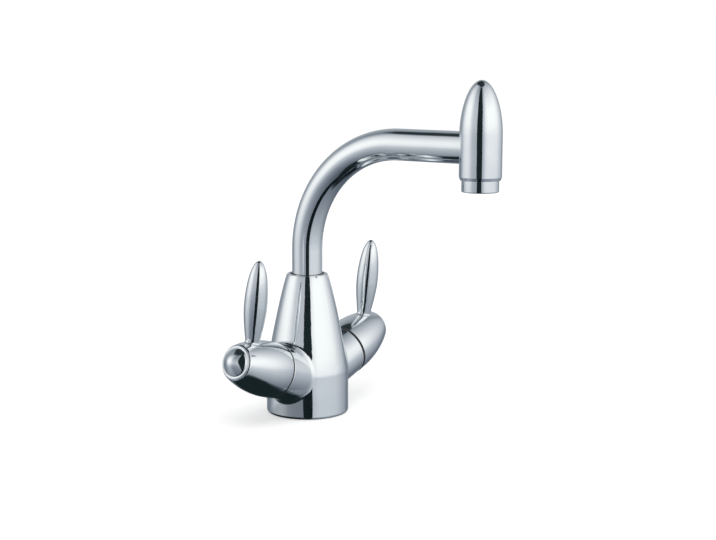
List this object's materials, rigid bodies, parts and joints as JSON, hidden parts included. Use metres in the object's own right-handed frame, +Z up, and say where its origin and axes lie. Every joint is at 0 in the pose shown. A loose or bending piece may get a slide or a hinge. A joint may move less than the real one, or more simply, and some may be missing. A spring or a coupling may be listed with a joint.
{
  "type": "two handle kitchen mixer tap",
  "caption": "Deck mounted kitchen mixer tap in mirror chrome: tapered column, swivelling bent tube spout with a bullet head, and lever handles on tilted side hubs.",
  "frame": {"origin": "centre of the round base on the deck face", "axes": "+Z up; the spout reaches out along -Y; the hot handle is on -X and the cold handle on +X"},
  "size_m": [0.1806, 0.1884, 0.2445],
  "materials": {
    "chrome": "mirror polished chrome plate",
    "brass": "turned brass",
    "steel": "bright stainless steel",
    "rubber": "black moulded rubber",
    "ceramic": "lapped white ceramic",
    "dark_plastic": "dark low-friction plastic",
    "white_plastic": "white moulded plastic"
  },
  "bodies": {
    "body": {"body_casting": "chrome", "base_seal": "rubber", "spout_bush": "dark_plastic", "spout_slip_washer": "dark_plastic", "spout_retaining_screw": "steel", "hot_cartridge_body": "brass", "hot_flange_o_ring": "rubber", "hot_seat_seal": "rubber", "hot_fixed_disc": "ceramic", "hot_glide_ring": "dark_plastic", "cold_cartridge_body": "brass", "cold_flange_o_ring": "rubber", "cold_seat_seal": "rubber", "cold_fixed_disc": "ceramic", "cold_glide_ring": "dark_plastic"},
    "spout": {"spout_tube": "chrome", "spout_nipple": "brass", "spout_o_rings": "rubber", "spout_head": "chrome", "aerator_collar": "chrome", "aerator_insert": "white_plastic", "aerator_screen": "steel", "aerator_washer": "rubber"},
    "hot_handle": {"hot_handle": "chrome", "hot_moving_disc": "ceramic", "hot_spindle": "brass", "hot_spindle_o_rings": "rubber", "hot_spindle_clip": "steel", "hot_handle_screw": "steel", "hot_end_cap": "chrome"},
    "cold_handle": {"cold_handle": "chrome", "cold_moving_disc": "ceramic", "cold_spindle": "brass", "cold_spindle_o_rings": "rubber", "cold_spindle_clip": "steel", "cold_handle_screw": "steel", "cold_end_cap": "chrome"}
  },
  "joints": [
    {"name": "spout_swivel", "type": "hinge", "parent": "body", "child": "spout", "pos_m": [0, 0, 0.0944], "axis": [0, 0, 1], "continuous": true},
    {"name": "hot_turn", "type": "hinge", "parent": "body", "child": "hot_handle", "pos_m": [0, -0.0012, 0.0243], "axis": [0.9527, 0, -0.304], "range_deg": [0, 90]},
    {"name": "cold_turn", "type": "hinge", "parent": "body", "child": "cold_handle", "pos_m": [0, -0.0012, 0.0243], "axis": [0.9527, 0, 0.304], "range_deg": [0, 90]}
  ]
}
